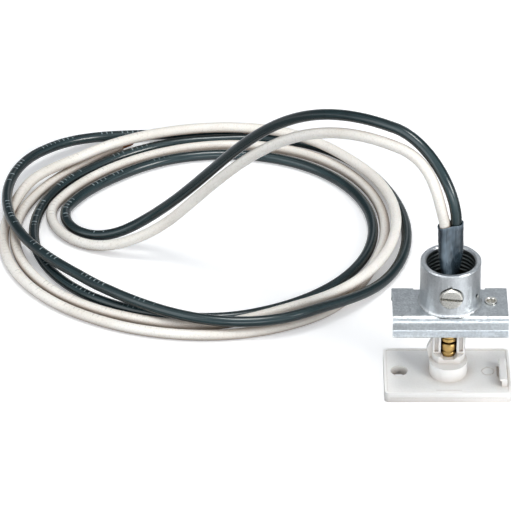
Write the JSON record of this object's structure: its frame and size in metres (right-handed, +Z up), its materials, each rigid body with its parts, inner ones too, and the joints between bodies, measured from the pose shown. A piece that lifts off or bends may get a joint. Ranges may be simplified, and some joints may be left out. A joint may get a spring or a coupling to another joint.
{
  "type": "two-lead contact holder",
  "caption": "White moulded contact holder with a sprung brass contact, a pressed metal saddle with a screw-clamp hub, and coiled black and white leads rising through a sleeve.",
  "frame": {"origin": "where the clamp hub's axis meets the plane of the base's flat underside", "axes": "+Z up along the clamp hub's axis, +X to the right along the base's length, +Y to the back towards the coiled leads"},
  "size_m": [0.2088, 0.1962, 0.1052],
  "materials": {
    "white_moulding": "satin white moulded plastic with softly rounded edges",
    "contact_brass": "turned brass, lightly tarnished",
    "spring_steel": "drawn spring steel",
    "fibre": "pressed fibre sheet",
    "black_rubber": "matt black rubber",
    "saddle_sheet": "pressed sheet, satin and lightly mottled, brighter along the bends",
    "hub_metal": "cast and turned, satin with a bright rim",
    "screw_steel": "plated steel, slotted head",
    "bush_steel": "turned steel",
    "sleeve": "dark slate shrink sleeve, satin",
    "black_insulation": "smooth black insulation with small grey tick marks",
    "white_insulation": "smooth warm white insulation with faint grey tick marks",
    "copper_strand": "stranded copper"
  },
  "bodies": {
    "holder": {"base_moulding": "white_moulding", "contact_barrel": "contact_brass", "plunger_spring": "spring_steel", "contact_blade": "contact_brass", "insulating_washer": "fibre", "tower_grommet": "black_rubber", "retaining_ring": "spring_steel", "shrink_sleeve": "sleeve", "black_lead_insulation": "black_insulation", "black_lead_core": "copper_strand", "black_crimp": "contact_brass", "white_lead_insulation": "white_insulation", "white_lead_core": "copper_strand", "white_crimp": "contact_brass"},
    "saddle": {"saddle_bracket": "saddle_sheet", "hub_collar": "hub_metal", "threaded_bush": "bush_steel"},
    "clamp_screw": {"clamp_screw": "screw_steel"},
    "contact_plunger": {"contact_plunger": "contact_brass"}
  },
  "joints": [
    {"name": "saddle_slide", "type": "slide", "parent": "holder", "child": "saddle", "axis": [0, 0, 1], "range_m": [-0.017, 0]},
    {"name": "clamp_screw_travel", "type": "slide", "parent": "saddle", "child": "clamp_screw", "axis": [0, -1, 0], "range_m": [0, 0.003]},
    {"name": "plunger_travel", "type": "slide", "parent": "holder", "child": "contact_plunger", "axis": [0, 0, 1], "range_m": [0, 0.001], "stiffness_N_per_m": 400, "springref_m": -0.002, "deforming": ["plunger_spring"]}
  ]
}
